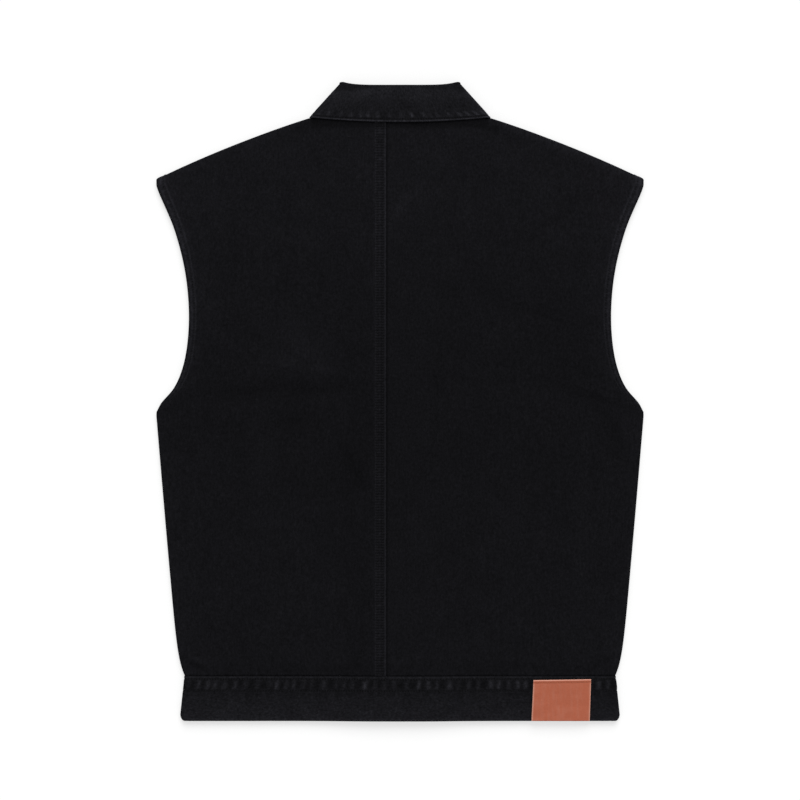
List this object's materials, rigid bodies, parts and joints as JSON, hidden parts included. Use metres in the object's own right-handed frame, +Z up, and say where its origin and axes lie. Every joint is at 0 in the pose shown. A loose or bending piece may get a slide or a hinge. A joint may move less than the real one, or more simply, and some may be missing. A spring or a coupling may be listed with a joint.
{
  "type": "denim vest",
  "caption": "Sleeveless black denim vest, buttoned and laid flat on its face, with a turned-down collar, a waistband and a bare leather patch.",
  "frame": {"origin": "Centre of the bounding box, on the surface that the vest lies on", "axes": "+Y from the hem to the collar, +Z up out of the back, and +X to the wearer's right, because the vest lies on its face"},
  "size_m": [0.5468, 0.7146, 0.0117],
  "materials": {
    "denim": "black denim twill, matt",
    "denim_band": "black denim twill, two layers, matt",
    "leather": "tan leather, bare",
    "metal": "darkened brass, satin"
  },
  "bodies": {
    "root": {"back_left": "denim", "back_right": "denim", "front_left": "denim", "front_right": "denim", "placket_left": "denim", "placket_right": "denim", "waistband": "denim_band", "collar": "denim_band", "leather_patch": "leather", "button_1": "metal", "button_2": "metal", "button_3": "metal", "button_4": "metal", "button_5": "metal", "button_6": "metal", "button_waist": "metal"}
  },
  "joints": []
}
